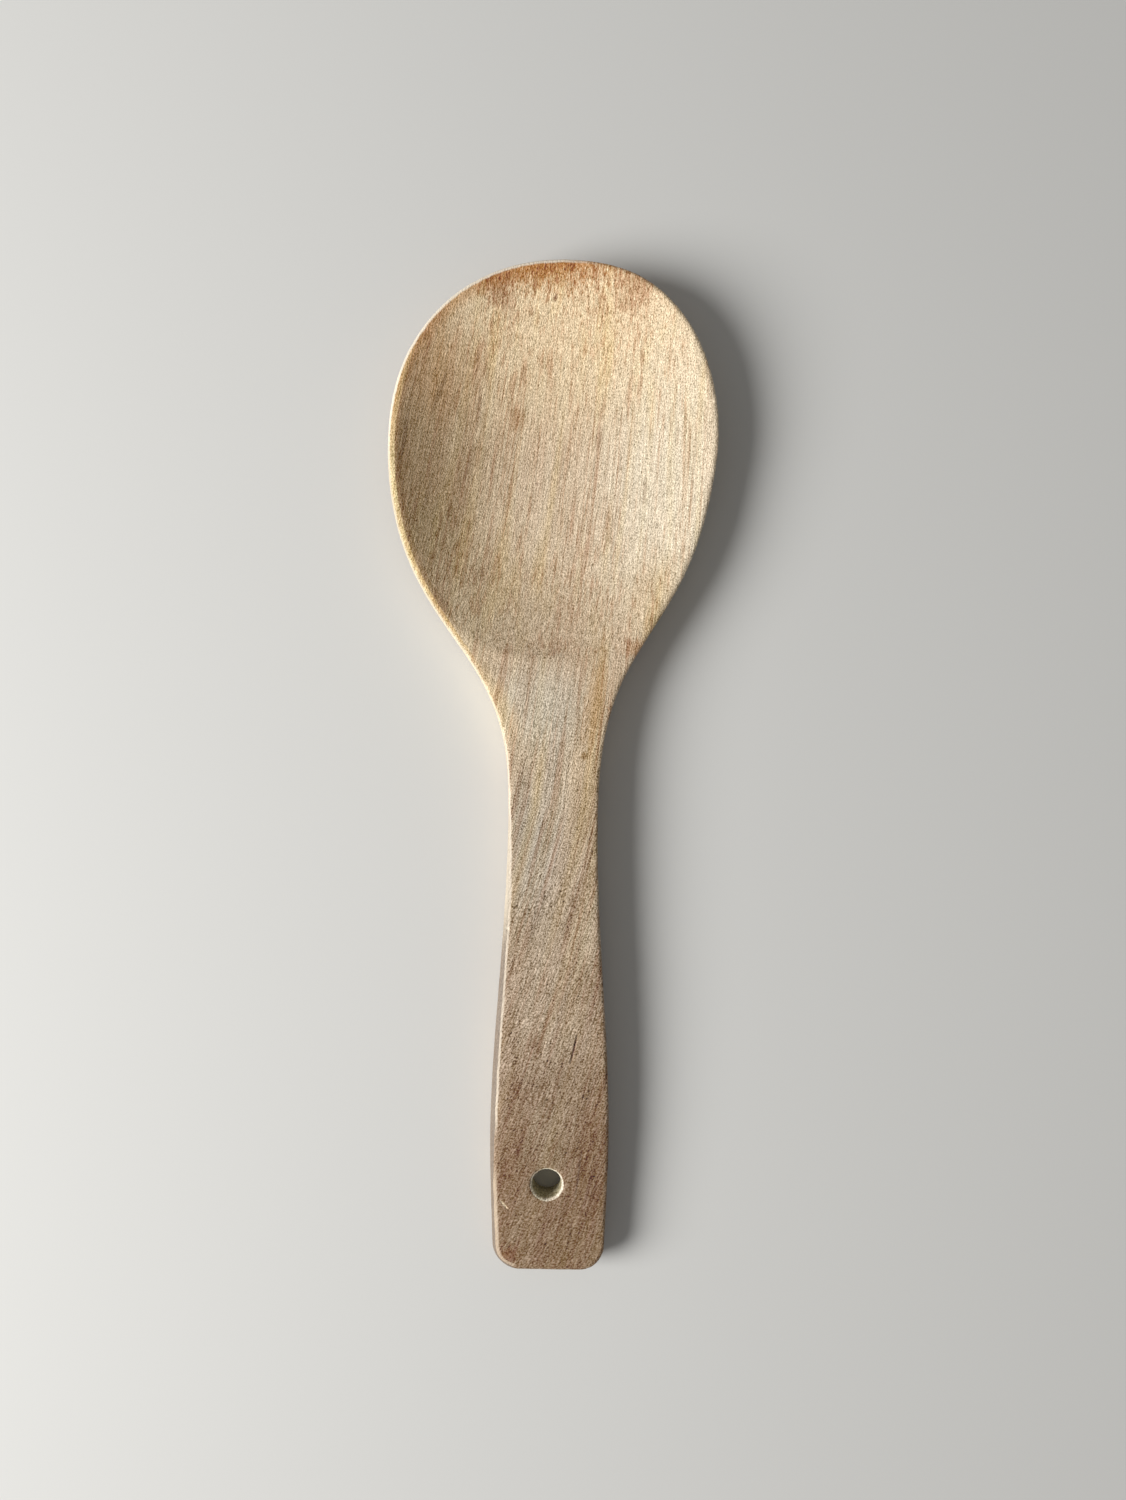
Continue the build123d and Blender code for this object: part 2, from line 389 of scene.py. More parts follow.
    def material(self) -> bpy.types.Material:
        """Builds the wood's material.

        Returns:
            The material, which reads Object coordinates and the board's own attributes.
        """
        material = bpy.data.materials.new(self.name)
        material.use_nodes = True
        tree = material.node_tree
        tree.nodes.clear()
        place = add(tree, "ShaderNodeTexCoord").outputs["Object"]
        per_metre = (1 / MM, 1 / MM, 1 / MM)
        millimetres = add(tree, "ShaderNodeVectorMath", {0: place, 1: per_metre}, operation="MULTIPLY").outputs[0]
        flow = self._flow(tree, millimetres)
        bands, bars, streaks, hues, threads, fibres, specks = (
            self._grain(tree, flow, figure)
            for figure in (self.bands, self.bars, self.streaks, self.hues, self.threads, self.fibres, self.specks)
        )
        wood: Socket | Colour = linear(self.ground)
        for zone in self.zones:
            wood = self._stained(tree, wood, place, (bands, bars), zone)
        for stain in self.stains:
            wood = self._stained(tree, wood, place, (streaks, fibres), stain)
        for trace in self.traces:
            wood = self._traced(tree, wood, bars, trace)
        broad = {self.bands: bands, self.bars: bars, self.streaks: streaks}
        wood = self._tinted(tree, wood, self._summed(tree, broad, self.clear_at), self.tints)
        wood = self._tinted(tree, wood, self._summed(tree, {self.hues: hues}, self.even_at), self.casts)
        wood = self._sparkling(tree, wood, {self.threads: threads, self.fibres: fibres, self.specks: specks})
        for trace in self.edge_wear_and_painted_light:
            wood = self._traced(tree, wood, bars, trace)
        height = add(tree, "ShaderNodeMath", {0: fibres, 1: specks}, operation="ADD").outputs[0]
        relief = {"Strength": self.bump_strength, "Distance": self.bump_depth * MM, "Height": height}
        bump = add(tree, "ShaderNodeBump", relief).outputs[0]
        fibre_low, fibre_high = self.fibre_range
        dry = {
            "Value": fibres,
            "From Min": fibre_low,
            "From Max": fibre_high,
            "To Min": self.roughness - self.roughness_spread,
            "To Max": self.roughness + self.roughness_spread,
        }
        dryness = add(tree, "ShaderNodeMapRange", dry).outputs[0]
        looks = {"Base Color": wood, "Roughness": dryness, "IOR": self.ior, "Normal": bump}
        shader = add(tree, "ShaderNodeBsdfPrincipled", looks)
        add(tree, "ShaderNodeOutputMaterial", {"Surface": shader.outputs[0]})
        return material

    def _flow(self, tree: Tree, millimetres: Socket) -> Socket:
        """Bends the board's coordinates so that their second axis runs along the grain.

        The grain leans to the right going up: about 14 degrees under the neck and 19 at the butt,
        11 at the left of the bowl and 2 at its right.

        Args:
            tree: the material's node tree.
            millimetres: the place on the board, in mm.

        Returns:
            The bent coordinates, in mm.
        """
        parts = add(tree, "ShaderNodeSeparateXYZ", {0: millimetres}).outputs
        leaning = {0: parts[0], 1: self.lean_across, 2: self.lean}
        lean = add(tree, "ShaderNodeMath", leaning, operation="MULTIPLY_ADD").outputs[0]
        from_neck = add(tree, "ShaderNodeMath", {0: parts[1], 1: -NECK_AT}, operation="ADD").outputs[0]
        shift = add(tree, "ShaderNodeMath", {0: lean, 1: from_neck}, operation="MULTIPLY").outputs[0]
        below = add(tree, "ShaderNodeMath", {0: from_neck, 1: 0.0}, operation="MINIMUM").outputs[0]
        more = {0: below, 1: self.lean_below, 2: shift}
        shift = add(tree, "ShaderNodeMath", more, operation="MULTIPLY_ADD").outputs[0]
        across = add(tree, "ShaderNodeMath", {0: parts[0], 1: shift}, operation="SUBTRACT").outputs[0]
        return add(tree, "ShaderNodeCombineXYZ", {0: across, 1: parts[1], 2: parts[2]}).outputs[0]

    def _grain(self, tree: Tree, flow: Socket, figure: Figure) -> Socket:
        """Noise drawn out along the grain.

        Args:
            tree: the material's node tree.
            flow: coordinates in mm, with the second axis along the grain.
            figure: the size and kind of the noise.

        Returns:
            A value around 0.5.
        """
        drawn_out = {
            "Vector": flow,
            "Location": (figure.seed, figure.seed, figure.seed),
            "Rotation": (0.0, 0.0, -math.radians(figure.lean)),
            "Scale": (figure.width, figure.length, figure.width),
        }
        place = add(tree, "ShaderNodeMapping", drawn_out, vector_type="TEXTURE").outputs[0]
        return add(tree, "ShaderNodeTexNoise", {"Vector": place, "Scale": 1.0, "Detail": figure.detail}).outputs[0]

    def _summed(self, tree: Tree, layers: dict[Figure, Socket], even_at: float) -> Socket:
        """Adds up layers of figure by their weights.

        Args:
            tree: the material's node tree.
            layers: each figure's noise.
            even_at: the sum where every noise is at its middle.

        Returns:
            The sum.
        """
        total: Any = even_at - sum(figure.weight for figure in layers) / 2
        for figure, value in layers.items():
            more = {0: value, 1: figure.weight, 2: total}
            total = add(tree, "ShaderNodeMath", more, operation="MULTIPLY_ADD").outputs[0]
        return total

    def _tinted(self, tree: Tree, wood: Socket, figure: Socket, tints: tuple[tuple[float, str], ...]) -> Socket:
        """Soaks the wood with tints that follow its figure, as from brown bars to clear wood.

        Args:
            tree: the material's node tree.
            wood: the colour under them.
            figure: the place on the tints' scale.
            tints: sRGB hex colours, each with its place on the scale.

        Returns:
            The tinted colour.
        """
        ramp = add(tree, "ShaderNodeValToRGB", {0: figure})
        elements = ramp.color_ramp.elements
        elements[0].position, elements[1].position = tints[0][0], tints[-1][0]
        elements[0].color, elements[1].color = linear(tints[0][1]), linear(tints[-1][1])
        for place, colour in tints[1:-1]:
            elements.new(place).color = linear(colour)
        mixed = {MIX_SHARE: 1.0, MIX_UNDER: wood, MIX_OVER: ramp.outputs[0]}
        soak = Blend.SOAK.value
        return add(tree, "ShaderNodeMix", mixed, data_type="RGBA", blend_type=soak).outputs[MIX_OUT]

    def _sparkling(self, tree: Tree, wood: Socket, layers: dict[Figure, Socket]) -> Socket:
        """Adds the fine layers of figure, pale fibres and darker pores, which are greyer than the wood.

        Args:
            tree: the material's node tree.
            wood: the colour under them.
            layers: each figure's noise.

        Returns:
            The colour with the fine figure on it.
        """
        total = self._summed(tree, layers, 0.0)
        station = add(tree, "ShaderNodeAttribute", attribute_name="station").outputs["Fac"]
        for start, full, raised in self.raised:
            change = {"Value": station, "From Min": start, "From Max": full, "To Min": 1.0, "To Max": raised}
            strength = add(tree, "ShaderNodeMapRange", change).outputs[0]
            total = add(tree, "ShaderNodeMath", {0: total, 1: strength}, operation="MULTIPLY").outputs[0]
        factor = add(tree, "ShaderNodeMath", {0: total, 1: 1.0}, operation="ADD").outputs[0]
        grey = add(tree, "ShaderNodeMath", {0: total, 1: self.greyness}, operation="MULTIPLY").outputs[0]
        return add(tree, "ShaderNodeVectorMath", {0: wood, 1: factor, 2: grey}, operation="MULTIPLY_ADD").outputs[0]

    def _traced(self, tree: Tree, ground: Socket, ragged: Socket, trace: Trace) -> Socket:
        """Lays a colour along an edge, the rim or the bore.

        Args:
            tree: the material's node tree.
            ground: the colour under it.
            ragged: noise that makes the distance from the pale edge line, worn wood and painted highlight, uneven.
            trace: the colour, and the measures that it follows.

        Returns:
            The colour with the trace on it.
        """
        share: Any = trace.strength
        for measure, start, full in trace.limits:
            value = add(tree, "ShaderNodeAttribute", attribute_name=measure).outputs["Fac"]
            if measure == "arris":
                wobble = {0: ragged, 1: self.line_ragged, 2: -self.line_ragged / 2}
                uneven = add(tree, "ShaderNodeMath", wobble, operation="MULTIPLY_ADD").outputs[0]
                value = add(tree, "ShaderNodeMath", {0: value, 1: uneven}, operation="ADD").outputs[0]
            limit = {"Value": value, "From Min": start, "From Max": full, "To Min": 0.0, "To Max": 1.0}
            within = add(tree, "ShaderNodeMapRange", limit, interpolation_type="SMOOTHSTEP").outputs[0]
            share = add(tree, "ShaderNodeMath", {0: share, 1: within}, operation="MULTIPLY").outputs[0]
        mixed = {MIX_SHARE: share, MIX_UNDER: ground, MIX_OVER: linear(trace.colour)}
        cover = Blend.COVER.value
        return add(tree, "ShaderNodeMix", mixed, data_type="RGBA", blend_type=cover).outputs[MIX_OUT]

    def _stained(
        self, tree: Tree, ground: Socket | Colour, place: Socket, figures: tuple[Socket, Socket], stain: Stain
    ) -> Socket:
        """Adds one stain, which the grain breaks up at its edge.

        Args:
            tree: the material's node tree.
            ground: the colour under it.
            place: the place on the board, in metres.
            figures: two layers of figure that break it up.
            stain: its place, size and colour.

        Returns:
            The colour with the stain on it.
        """
        ellipse = {
            "Vector": place,
            "Location": (stain.x * MM, stain.y * MM, self.stain_level * MM),
            "Rotation": (0.0, 0.0, -math.radians(stain.lean)),
            "Scale": (stain.across * MM, stain.along * MM, self.stain_depth * MM),
        }
        local = add(tree, "ShaderNodeMapping", ellipse, vector_type="TEXTURE").outputs[0]
        reach = add(tree, "ShaderNodeVectorMath", {0: local}, operation="LENGTH").outputs["Value"]
        wobble = add(tree, "ShaderNodeMath", {0: figures[0], 1: figures[1]}, operation="ADD").outputs[0]
        uneven = {0: wobble, 1: stain.ragged, 2: -stain.ragged}
        wobble = add(tree, "ShaderNodeMath", uneven, operation="MULTIPLY_ADD").outputs[0]
        reach = add(tree, "ShaderNodeMath", {0: reach, 1: wobble}, operation="ADD").outputs[0]
        limit = {"Value": reach, "From Min": 1.0, "From Max": stain.core, "To Min": 0.0, "To Max": stain.strength}
        share = add(tree, "ShaderNodeMapRange", limit, interpolation_type="SMOOTHSTEP").outputs[0]
        mixed = {MIX_SHARE: share, MIX_UNDER: ground, MIX_OVER: linear(stain.colour)}
        cover = Blend.COVER.value
        return add(tree, "ShaderNodeMix", mixed, data_type="RGBA", blend_type=cover).outputs[MIX_OUT]


@dataclass(frozen=True)
class Groove:
    """A narrow mark that is cut into the wood: a crack, a scratch or a knock.

    start, end: its two ends seen from above, in mm.
    width, depth: in mm.
    """

    start: tuple[float, float]
    end: tuple[float, float]
    width: float
    depth: float


@dataclass
class Outline:
    """The board's sides, flattened onto the table and sampled every fraction of a millimetre.

    tree: finds the sample nearest to a place in metres.
    samples: their places seen from above, in mm.
    inward: the direction into the wood at each.
    crest: the height of the board's upper side just inside each, in mm.
    """

    tree: KDTree
    samples: np.ndarray
    inward: np.ndarray
    crest: np.ndarray

    def nearest(self, points: np.ndarray) -> tuple[np.ndarray, np.ndarray, np.ndarray]:
        """Finds where the outline passes nearest to each point.

        Args:
            points: places in mm.

        Returns:
            How far each point is inside the outline in mm, the inward direction there, and the
            height of the upper side at the edge in mm.
        """
        found = [self.tree.find((x * MM, y * MM, 0.0))[1] for x, y in points[:, :2]]
        inward = self.inward[found]
        distance = np.sum((points[:, :2] - self.samples[found]) * inward, axis=1)
        return distance, inward, self.crest[found]


@dataclass
class Board:
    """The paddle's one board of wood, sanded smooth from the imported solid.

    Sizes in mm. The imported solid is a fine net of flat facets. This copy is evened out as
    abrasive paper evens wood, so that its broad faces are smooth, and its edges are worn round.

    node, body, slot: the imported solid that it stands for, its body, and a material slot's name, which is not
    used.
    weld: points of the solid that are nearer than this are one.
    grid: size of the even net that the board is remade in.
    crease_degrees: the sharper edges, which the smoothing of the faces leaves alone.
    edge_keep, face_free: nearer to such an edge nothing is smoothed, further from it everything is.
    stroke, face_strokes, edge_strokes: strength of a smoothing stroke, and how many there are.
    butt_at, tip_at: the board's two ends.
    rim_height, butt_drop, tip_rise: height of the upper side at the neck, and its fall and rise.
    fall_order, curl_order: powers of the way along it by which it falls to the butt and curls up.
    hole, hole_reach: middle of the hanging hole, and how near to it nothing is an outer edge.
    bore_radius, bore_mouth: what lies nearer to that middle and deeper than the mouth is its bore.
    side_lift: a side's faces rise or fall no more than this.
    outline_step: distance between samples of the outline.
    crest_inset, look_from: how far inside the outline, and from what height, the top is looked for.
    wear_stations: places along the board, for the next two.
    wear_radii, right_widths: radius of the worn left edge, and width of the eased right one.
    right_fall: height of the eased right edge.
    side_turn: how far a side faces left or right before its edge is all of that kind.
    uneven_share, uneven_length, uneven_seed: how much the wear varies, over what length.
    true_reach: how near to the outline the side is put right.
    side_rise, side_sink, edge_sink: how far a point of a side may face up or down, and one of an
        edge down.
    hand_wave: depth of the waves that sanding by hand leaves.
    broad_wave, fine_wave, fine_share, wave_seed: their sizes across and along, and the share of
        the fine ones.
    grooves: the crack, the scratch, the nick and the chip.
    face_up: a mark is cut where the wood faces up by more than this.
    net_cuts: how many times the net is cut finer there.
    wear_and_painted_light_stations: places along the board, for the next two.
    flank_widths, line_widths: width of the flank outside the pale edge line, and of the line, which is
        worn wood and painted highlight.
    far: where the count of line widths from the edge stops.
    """

    node: str = "paddle"
    body: str = "root"
    slot: str = "wood"
    name: str = "paddle_board"
    weld: float = 0.001
    grid: float = 0.545
    crease_degrees: float = 12.0
    edge_keep: float = 0.3
    face_free: float = 3.0
    stroke: float = 0.5
    face_strokes: int = 110
    edge_strokes: int = 2
    butt_at: float = -115.0
    tip_at: float = 115.0
    rim_height: float = 10.1
    butt_drop: float = 3.2
    tip_rise: float = 3.0
    fall_order: int = 2
    curl_order: int = 5
    hole: tuple[float, float] = (0.6, -94.7)
    hole_reach: float = 6.0
    bore_radius: float = 3.9
    bore_mouth: float = 0.7
    side_lift: float = 0.2
    outline_step: float = 0.15
    crest_inset: float = 1.0
    look_from: float = 100.0
    wear_stations: tuple[float, ...] = (-115.0, -80.0, -35.0, -8.0, 20.0, 60.0, 115.0)
    wear_radii: tuple[float, ...] = (2.1, 2.0, 1.5, 0.9, 0.9, 0.9, 0.9)
    right_widths: tuple[float, ...] = (1.6, 1.5, 1.3, 1.0, 1.0, 1.0, 0.9)
    right_fall: float = 0.3
    side_turn: float = 0.6
    uneven_share: float = 0.12
    uneven_length: float = 7.0
    uneven_seed: float = 5.0
    true_reach: float = 0.6
    side_rise: float = 0.75
    side_sink: float = -0.3
    edge_sink: float = -0.2
    hand_wave: float = 0.07
    broad_wave: tuple[float, float] = (14.0, 34.0)
    fine_wave: tuple[float, float] = (5.0, 20.0)
    fine_share: float = 0.5
    wave_seed: float = 9.0
    grooves: tuple[Groove, ...] = (
        Groove((7.1, -60.3), (5.7, -66.4), 0.35, 0.3),
        Groove((-10.2, -98.2), (-7.9, -100.8), 0.3, 0.12),
        Groove((-9.8, -35.7), (-8.9, -36.3), 0.6, 0.22),
        Groove((14.6, 14.6), (13.0, 13.8), 0.5, 0.1),
    )
    face_up: float = 0.1
    net_cuts: int = 2
    wear_and_painted_light_stations: tuple[float, ...] = (-115.0, -105.0, -95.0, -80.0, -60.0, -30.0, -15.0, -5.0, 35.0, 75.0, 115.0)
    flank_widths: tuple[float, ...] = (0.9, 0.8, 0.75, 1.2, 1.15, 0.95, 0.4, 0.1, 0.12, 0.12, 0.1)
    line_widths: tuple[float, ...] = (0.6, 0.8, 0.7, 0.5, 0.45, 0.45, 0.4, 0.35, 0.4, 0.5, 0.8)
    far: float = 9.0
    finish: SandedHardwood = field(default_factory=SandedHardwood)

    def build(self) -> bpy.types.Object:
        """Makes the board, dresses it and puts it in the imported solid's place.

        Returns:
            The finished piece.
        """
        piece = self._copied()
        creases = self._creases(piece.data)
        outline = self._outline(piece.data)
        self._apply(piece, "REMESH", mode="VOXEL", voxel_size=self.grid * MM)
        self._sand(piece, creases)
        self._wear(piece, outline)
        self._cut(piece)
        self._measure(piece, outline)
        piece.data.materials.clear()
        piece.data.materials.append(self.finish.material())
        for polygon in piece.data.polygons:
            polygon.use_smooth = True
        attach(piece, self.body)
        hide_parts(self.node)
        log.info("%s: %d vertices, %d faces", piece.name, len(piece.data.vertices), len(piece.data.polygons))
        return piece

    def _copied(self) -> bpy.types.Object:
        """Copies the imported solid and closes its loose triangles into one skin.

        Returns:
            The copy, linked to the scene.
        """
        form = bmesh.new()
        form.from_mesh(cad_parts[self.node].data)
        bmesh.ops.remove_doubles(form, verts=form.verts, dist=self.weld * MM)
        mesh = bpy.data.meshes.new(self.name)
        form.to_mesh(mesh)
        form.free()
        piece = bpy.data.objects.new(self.name, mesh)
        bpy.context.scene.collection.objects.link(piece)
        return piece

    def _top(self, y: np.ndarray) -> np.ndarray:
        """Height of the upper side's plane, which falls away to the butt and curls up to the tip.

        Args:
            y: places along the board, in mm.

        Returns:
            The height at each, in mm.
        """
        handle = np.clip((NECK_AT - y) / (NECK_AT - self.butt_at), 0, None)
        bowl = np.clip((y - NECK_AT) / (self.tip_at - NECK_AT), 0, None)
        return self.rim_height - self.butt_drop * handle**self.fall_order + self.tip_rise * bowl**self.curl_order

    @staticmethod
    def _tree(points: list[Vector] | list[tuple[float, float, float]]) -> KDTree:
        """Makes a search tree of points.

        Args:
            points: places in metres.

        Returns:
            The tree, which gives a point's place in the list as its number.
        """
        tree = KDTree(len(points))
        for number, point in enumerate(points):
            tree.insert(point, number)
        tree.balance()
        return tree

    def _creases(self, mesh: bpy.types.Mesh) -> KDTree:
        """Finds the solid's sharper edges, which the smoothing leaves alone.

        Args:
            mesh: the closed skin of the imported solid.

        Returns:
            A tree of points a fraction of a millimetre apart along those edges.
        """
        form = bmesh.new()
        form.from_mesh(mesh)
        limit = math.radians(self.crease_degrees)
        points = []
        for edge in form.edges:
            if edge.calc_face_angle(0.0) > limit:
                start, end = (vertex.co for vertex in edge.verts)
                steps = max(1, math.ceil((end - start).length / (self.grid * MM)))
                points += [start.lerp(end, step / steps) for step in range(steps + 1)]
        form.free()
        return self._tree(points)

    def _outline(self, mesh: bpy.types.Mesh) -> Outline:
        """Samples the board's sides, flattened onto the table.

        Args:
            mesh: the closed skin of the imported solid.

        Returns:
            Points along the outline, with the inward direction and the height of the edge at each.
        """
        form = bmesh.new()
        form.from_mesh(mesh)
        skin = BVHTree.FromBMesh(form)
        middle = Vector((self.hole[0] * MM, self.hole[1] * MM))
        above = Vector((0.0, 0.0, self.look_from * MM))
        down = Vector((0.0, 0.0, -1.0))
        points, inward, crest = [], [], []
        for face in form.faces:
            from_hole = (face.calc_center_median().xy - middle).length
            if abs(face.normal.z) < self.side_lift and from_hole > self.hole_reach * MM:
                direction = -face.normal.xy.normalized()
                for edge in face.edges:
                    start, end = (vertex.co for vertex in edge.verts)
                    steps = max(1, math.ceil((end - start).xy.length / (self.outline_step * MM)))
                    for step in range(steps + 1):
                        point = start.lerp(end, step / steps).xy
                        over = (point + direction * self.crest_inset * MM).to_3d() + above
                        hit = skin.ray_cast(over, down)[0]
                        points.append((point.x, point.y, 0.0))
                        inward.append(direction)
                        crest.append(hit.z if hit else 0.0)
        form.free()
        return Outline(self._tree(points), np.array(points)[:, :2] / MM, np.array(inward), np.array(crest) / MM)

    def _apply(self, piece: bpy.types.Object, kind: str, **settings: Any) -> None:
        """Puts a modifier on the piece and makes its result the piece's mesh.

        Args:
            piece: the board.
            kind: the modifier's type.
            **settings: the modifier's own properties.
        """
        modifier = piece.modifiers.new(kind.lower(), kind)
        for name, value in settings.items():
            setattr(modifier, name, value)
        graph = bpy.context.evaluated_depsgraph_get()
        result = bpy.data.meshes.new_from_object(piece.evaluated_get(graph))
        piece.modifiers.clear()
        piece.data = result
        result.name = self.name

    def _sand(self, piece: bpy.types.Object, creases: KDTree) -> None:
        """Evens out the broad faces and leaves the edges as they are.

        Args:
            piece: the board.
            creases: points along the edges that stay as they are.
        """
        group = piece.vertex_groups.new(name="open_face")
        for vertex in piece.data.vertices:
            distance = creases.find(vertex.co)[2] / MM
            share = min(1.0, max(0.0, (distance - self.edge_keep) / (self.face_free - self.edge_keep)))
            group.add([vertex.index], share, "REPLACE")
        self._apply(piece, "SMOOTH", factor=self.stroke, iterations=self.face_strokes, vertex_group="open_face")

    @staticmethod
    def _points(mesh: bpy.types.Mesh) -> np.ndarray:
        """Reads where the mesh's points are.

        Args:
            mesh: the board's mesh.

        Returns:
            A row of x, y and z for each point, in mm.
        """
        flat = np.zeros(len(mesh.vertices) * 3)
        mesh.vertices.foreach_get("co", flat)
        return flat.reshape(-1, 3) / MM

    @staticmethod
    def _normals(mesh: bpy.types.Mesh) -> np.ndarray:
        """Reads which way the mesh's points face.

        Args:
            mesh: the board's mesh.

        Returns:
            A row of x, y and z for each point, of length 1.
        """
        flat = np.zeros(len(mesh.vertices) * 3, np.float32)
        mesh.vertex_normals.foreach_get("vector", flat)
        return flat.reshape(-1, 3)

    def _wear(self, piece: bpy.types.Object, outline: Outline) -> None:
        """Rounds the upper edge on the left, eases it on the right, and trues the sides.

        Args:
            piece: the board.
            outline: the board's outline.
        """
        mesh = piece.data
        points = self._points(mesh)
        rise = self._normals(mesh)[:, 2]
        distance, inward, crest = outline.nearest(points)
        leftness = np.interp(inward[:, 0], (-self.side_turn, self.side_turn), (0.0, 1.0))
        left_radius, right_width = (
            np.interp(points[:, 1], self.wear_stations, sizes) for sizes in (self.wear_radii, self.right_widths)
        )
        along = (points[:, 0] + points[:, 1]) / self.uneven_length
        uneven = 1 + self.uneven_share * np.array([noise.noise((a, 0.0, self.uneven_seed)) for a in along])
        width = (right_width + leftness * (left_radius - right_width)) * uneven
        fall = (self.right_fall + leftness * (left_radius - self.right_fall)) * uneven
        depth = crest - points[:, 2]
        from_axis = np.maximum(np.hypot(1 - distance / width, 1 - depth / fall), 1e-9)
        corner = (distance < width) & (depth < fall) & (rise > self.edge_sink)
        corner &= (from_axis > 1) | ((1 - from_axis) * width < self.true_reach)
        share = np.where(corner, 1 / from_axis, 1.0)
        shift = (width - distance) * (1 - share)
        side = (depth >= fall) & (distance < self.true_reach) & (rise > self.side_sink)
        side &= rise < self.side_rise
        shift = np.where(side, -distance, shift)
        points[:, :2] += inward * shift[:, None]
        points[:, 2] -= (fall - depth) * (1 - share)
        mesh.vertices.foreach_set("co", (points * MM).ravel())
        mesh.update()
        self._apply(piece, "SMOOTH", factor=self.stroke, iterations=self.edge_strokes)
        self._wave(piece.data)

    def _wave(self, mesh: bpy.types.Mesh) -> None:
        """Lowers the faces here and there by about a tenth of a millimetre, as hand sanding does.

        Args:
            mesh: the board's mesh.
        """
        points = self._points(mesh)
        (wide, long), (narrow, short) = self.broad_wave, self.fine_wave
        depths = [
            noise.noise((x / wide, y / long, z / wide))
            + self.fine_share * noise.noise((x / narrow, y / short, z / narrow + self.wave_seed))
            for x, y, z in points
        ]
        full = 1 + self.fine_share
        points += self._normals(mesh) * self.hand_wave * (np.array(depths)[:, None] - 1) / full
        points[:, 2] = np.maximum(points[:, 2], 0.0)
        mesh.vertices.foreach_set("co", (points * MM).ravel())
        mesh.update()

    def _cut(self, piece: bpy.types.Object) -> None:
        """Cuts the crack, the scratch and the knocks, in a finer net round each.

        Args:
            piece: the board.
        """
        form = bmesh.new()
        form.from_mesh(piece.data)
        for groove in self.grooves:
            start, end = Vector(groove.start), Vector(groove.end)
            reach = groove.width + 2 * self.grid
            near = {
                vertex
                for vertex in form.verts
                if vertex.normal.z > self.face_up and self._off(vertex.co, start, end) < reach
            }
            edges = {edge for vertex in near for edge in vertex.link_edges if edge.other_vert(vertex) in near}
            ordered = sorted(edges, key=lambda edge: edge.index)
            bmesh.ops.subdivide_edges(form, edges=ordered, cuts=self.net_cuts, use_grid_fill=True)
            form.normal_update()
            for vertex in form.verts:
                off = self._off(vertex.co, start, end)
                if off < groove.width and vertex.normal.z > self.face_up:
                    fall = math.cos(off / groove.width * math.pi / 2) ** 2
                    vertex.co.z -= groove.depth * fall * MM
            form.edges.index_update()
        form.to_mesh(piece.data)
        form.free()

    @staticmethod
    def _off(place: Vector, start: Vector, end: Vector) -> float:
        """Measures how far a place is from a mark, seen from above.

        Args:
            place: in metres.
            start: one end of the mark, in mm.
            end: its other end, in mm.

        Returns:
            The distance in mm.
        """
        point = place.xy / MM
        run = end - start
        share = min(1.0, max(0.0, (point - start).dot(run) / run.length_squared))
        return (point - start - run * share).length

    def _measure(self, piece: bpy.types.Object, outline: Outline) -> None:
        """Stores on the mesh what the finish follows.

        Args:
            piece: the board.
            outline: the board's outline.
        """
        mesh = piece.data
        points = self._points(mesh)
        distance, inward, _ = outline.nearest(points)
        flank = np.interp(points[:, 1], self.wear_and_painted_light_stations, self.flank_widths)
        line = np.interp(points[:, 1], self.wear_and_painted_light_stations, self.line_widths)
        from_hole = np.hypot(points[:, 0] - self.hole[0], points[:, 1] - self.hole[1])
        depth = self._top(points[:, 1]) - points[:, 2]
        across_line = np.minimum((distance - flank) / line, self.far)
        values = {
            "arris": np.where(from_hole < self.hole_reach, self.far, across_line),
            "left": inward[:, 0],
            "depth": depth,
            "station": points[:, 1],
            "bore": np.where((from_hole < self.bore_radius) & (depth > self.bore_mouth), 1.0, 0.0),
        }
        for name, value in values.items():
            attribute = mesh.attributes.new(name, "FLOAT", "POINT")
            attribute.data.foreach_set("value", value.astype(np.float32))


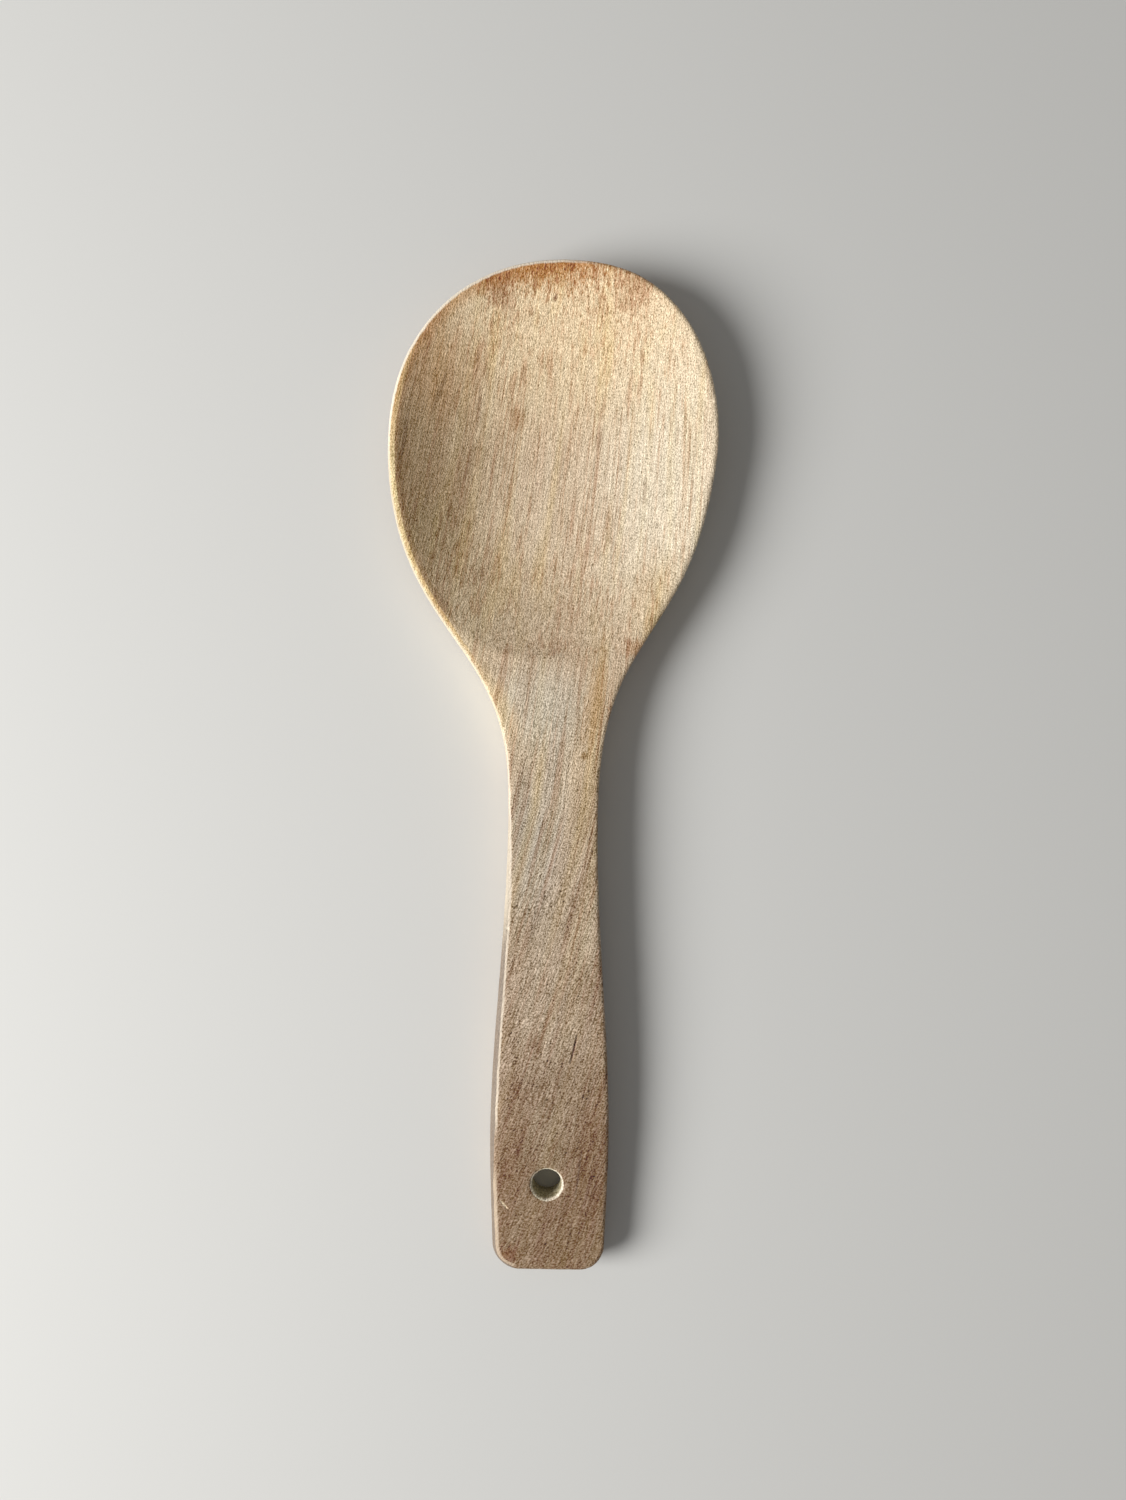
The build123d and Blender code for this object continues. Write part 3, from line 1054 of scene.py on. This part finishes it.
@dataclass
class Studio:
    """The floor, the lamp, the room's even light and the camera. Lengths in metres.

    floor_colour, floor_roughness, floor_ior: of matt paper, the colour as sRGB hex.
    floor_size: its side.
    camera_x, camera_y, camera_height: place of the camera over the board.
    camera_roll: degrees that it is turned anticlockwise, seen from above.
    focal_pixels: its focal length in the photograph's own pixels.
    sensor_height: in mm.
    clip_start: the nearest that it sees.
    lamp_distance, lamp_size, lamp_power: from the origin, across, and in watts.
    lamp_elevation, lamp_azimuth: degrees over the floor, and anticlockwise from +X.
    sky, backdrop: strength of the room's light, and of the pale grey that is seen behind.
    """

    floor_colour: str = "#d6d5d1"
    floor_roughness: float = 0.9
    floor_ior: float = 1.4
    floor_size: float = 3.0
    camera_height: float = 0.2549
    camera_x: float = 0.00304
    camera_y: float = 0.00449
    camera_roll: float = 0.72
    focal_pixels: float = 1083.0
    sensor_height: float = 36.0
    clip_start: float = 0.005
    lamp_distance: float = 1.0
    lamp_size: float = 0.62
    lamp_power: float = 14.0
    lamp_elevation: float = 33.0
    lamp_azimuth: float = 192.0
    sky: float = 0.2
    backdrop: float = 0.62

    def build(self) -> None:
        """Lays the floor, hangs the lamp, lights the room and sets the camera."""
        self._floor()
        self._lamp()
        self._room()
        self._camera()
        log.info("studio: floor, one soft lamp, even room light and camera")

    def _floor(self) -> None:
        """A plain pale floor under the paddle."""
        form = bmesh.new()
        bmesh.ops.create_grid(form, x_segments=1, y_segments=1, size=self.floor_size / 2)
        mesh = bpy.data.meshes.new("floor")
        form.to_mesh(mesh)
        form.free()
        floor = bpy.data.objects.new("floor", mesh)
        bpy.context.scene.collection.objects.link(floor)
        material = bpy.data.materials.new("matt_paper")
        material.use_nodes = True
        tree = material.node_tree
        tree.nodes.clear()
        looks = {"Base Color": linear(self.floor_colour), "Roughness": self.floor_roughness, "IOR": self.floor_ior}
        shader = add(tree, "ShaderNodeBsdfPrincipled", looks)
        add(tree, "ShaderNodeOutputMaterial", {"Surface": shader.outputs[0]})
        mesh.materials.append(material)

    def _lamp(self) -> None:
        """One large soft lamp, to the left of the paddle and a little towards its butt."""
        light = bpy.data.lights.new("key", "AREA")
        light.shape = "DISK"
        light.size = self.lamp_size
        light.energy = self.lamp_power
        lamp = bpy.data.objects.new("key", light)
        bpy.context.scene.collection.objects.link(lamp)
        elevation = math.radians(self.lamp_elevation)
        azimuth = math.radians(self.lamp_azimuth)
        towards = Vector(
            (math.cos(elevation) * math.cos(azimuth), math.cos(elevation) * math.sin(azimuth), math.sin(elevation))
        )
        lamp.location = towards * self.lamp_distance
        lamp.rotation_euler = towards.to_track_quat("Z", "Y").to_euler()

    def _room(self) -> None:
        """Even light from all round, and a pale grey backdrop where it is seen."""
        world = bpy.data.worlds.new("room")
        world.use_nodes = True
        tree = world.node_tree
        tree.nodes.clear()
        seen: Any = 0.0
        rays = add(tree, "ShaderNodeLightPath").outputs
        for ray in ("Is Camera Ray", "Is Glossy Ray", "Is Transmission Ray"):
            seen = add(tree, "ShaderNodeMath", {0: rays[ray], 1: seen}, operation="MAXIMUM").outputs[0]
        levels = {"Value": seen, "From Min": 0.0, "From Max": 1.0, "To Min": self.sky, "To Max": self.backdrop}
        strength = add(tree, "ShaderNodeMapRange", levels).outputs[0]
        light = add(tree, "ShaderNodeBackground", {"Color": (1.0, 1.0, 1.0, 1.0), "Strength": strength})
        add(tree, "ShaderNodeOutputWorld", {"Surface": light.outputs[0]})
        bpy.context.scene.world = world

    def _camera(self) -> None:
        """The camera looks straight down, a little right of the middle."""
        view = bpy.data.cameras.new("camera")
        view.sensor_fit = "VERTICAL"
        view.sensor_height = self.sensor_height
        view.lens = self.sensor_height * self.focal_pixels / PHOTO_HEIGHT
        view.clip_start = self.clip_start
        camera = bpy.data.objects.new("camera", view)
        bpy.context.scene.collection.objects.link(camera)
        camera.location = (self.camera_x, self.camera_y, self.camera_height)
        camera.rotation_euler = (0.0, 0.0, math.radians(self.camera_roll))
        bpy.context.scene.camera = camera


def main() -> None:
    """Builds the paddle and the studio round it, in order."""
    Board().build()
    Studio().build()
    bpy.context.scene.view_settings.view_transform = "Standard"


if __name__ == "__main__":
    main()
